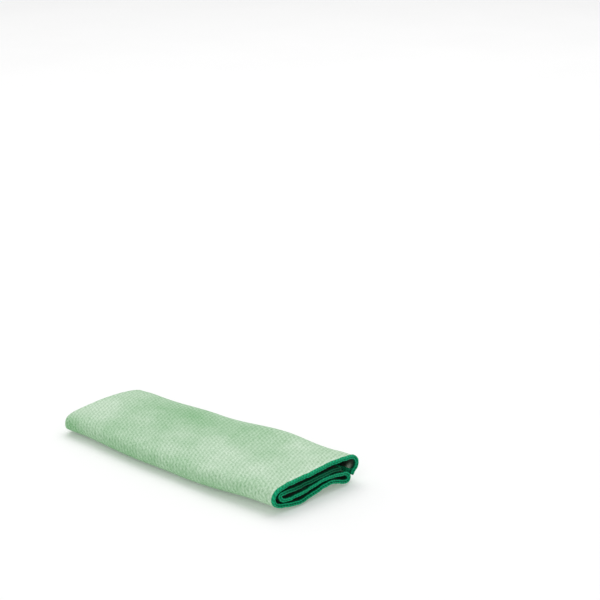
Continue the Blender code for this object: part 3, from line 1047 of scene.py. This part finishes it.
class MakeLongEdging(bpy.types.Operator):
    bl_idname = "mesh.overlocked_long_edges"
    bl_label = "Overlocked long edges"

    def execute(self, context):
        sizes = context.scene.cloth_sizes
        for name, last in (("back_edging", False), ("tucked_edging", True)):
            tube = long_tube(sizes, last)
            piece = make_edging(name, context.scene.cloth_looks, [tube])
            declare_piece(piece)
        cloth = bpy.data.objects.get("microfibre_cloth")
        hem = bpy.data.objects.get("hem_edging")
        if cloth is None or hem is None:
            raise RuntimeError("the cloth and its hem edging come before the long edges")
        return {"FINISHED"}


Softbox = namedtuple("Softbox", "size place aim")
SOFTBOX_TOP = Softbox(3.0, (-0.6, 0.9, 2.6), (-0.2, 0.3, 0.0))
SOFTBOX_FRONT = Softbox(1.6, (1.2, -1.9, 1.3), (0.0, 0.0, 0.0))
FLOOR_EDGES = np.linspace(-3.0, 3.0, 7)
FILM_WIDTH = 36.0  # millimetres
CAMERA_REACH = (0.05, 20.0)  # nearest and farthest distances that it sees


def area_light(name, power, box):
    """A square soft light that faces a point."""
    light = bpy.data.lights.new(name, "AREA")
    light.energy = power
    light.size = box.size
    lamp = bpy.data.objects.new(name, light)
    bpy.context.scene.collection.objects.link(lamp)
    lamp.location = box.place
    lamp.rotation_euler = (Vector(box.aim) - lamp.location).to_track_quat("-Z", "Y").to_euler()


def studio_camera(studio):
    """The camera, which looks at its aim from the studio's angles and distance."""
    data = bpy.data.cameras.new("camera")
    data.sensor_width = FILM_WIDTH
    data.lens = studio.lens
    data.clip_start, data.clip_end = CAMERA_REACH
    camera = bpy.data.objects.new("camera", data)
    bpy.context.scene.collection.objects.link(camera)
    view = Euler((math.pi / 2 - studio.elevation, 0.0, studio.azimuth)).to_matrix().to_4x4()
    back = Matrix.Translation((0.0, 0.0, studio.distance))
    camera.matrix_world = Matrix.Translation(studio.aim) @ view @ back
    return camera


class MakeStudio(bpy.types.Operator):
    """Make the pale floor, the soft lights and the camera"""

    bl_idname = "scene.cloth_studio"
    bl_label = "Studio"

    def execute(self, context):
        studio = context.scene.cloth_studio
        grid = np.stack(np.meshgrid(FLOOR_EDGES, FLOOR_EDGES, [0.0], indexing="ij"), axis=-1)
        floor = new_piece("floor", grid, grid_faces(len(FLOOR_EDGES), len(FLOOR_EDGES)))
        floor.data.materials.append(floor_material(context.scene.cloth_looks))

        world = bpy.data.worlds.new("white surroundings")
        world.use_nodes = True
        background = world.node_tree.nodes["Background"]
        background.inputs["Color"].default_value = WHITE
        background.inputs["Strength"].default_value = studio.world_light
        context.scene.world = world
        context.scene.view_settings.view_transform = "Standard"
        area_light("softbox_top", studio.top_light, SOFTBOX_TOP)
        area_light("softbox_front", studio.front_light, SOFTBOX_FRONT)
        context.scene.camera = studio_camera(studio)
        return {"FINISHED"}


class ClothPanel(bpy.types.Panel):
    """Sidebar panel with the pieces of the cloth and its studio"""

    bl_idname = "VIEW3D_PT_microfibre_cloth"
    bl_label = "Microfibre cloth"
    bl_space_type = "VIEW_3D"
    bl_region_type = "UI"
    bl_category = "Cloth"

    def draw(self, context):
        layout = self.layout
        for operator in OPERATORS:
            layout.operator(operator.bl_idname)
        for group, owner in GROUPS.items():
            for name in owner.__annotations__:
                layout.prop(getattr(context.scene, group), name)


OPERATORS = (MakeCloth, MakeHemEdging, MakeLongEdging, MakeStudio)
GROUPS = {"cloth_sizes": ClothSizes, "cloth_looks": ClothLooks, "cloth_studio": StudioSettings}
CLASSES = (*GROUPS.values(), *OPERATORS, ClothPanel)


def register():
    """Registers the classes and puts the settings on the scene."""
    for cls in CLASSES:
        bpy.utils.register_class(cls)
    for name, cls in GROUPS.items():
        setattr(bpy.types.Scene, name, bpy.props.PointerProperty(type=cls))


def unregister():
    """Takes the settings off the scene and unregisters the classes."""
    for name in GROUPS:
        delattr(bpy.types.Scene, name)
    for cls in reversed(CLASSES):
        bpy.utils.unregister_class(cls)


def main():
    register()
    bpy.ops.mesh.folded_microfibre_cloth()
    bpy.ops.mesh.overlocked_hems()
    bpy.ops.mesh.overlocked_long_edges()
    bpy.ops.scene.cloth_studio()


if __name__ == "__main__":
    main()
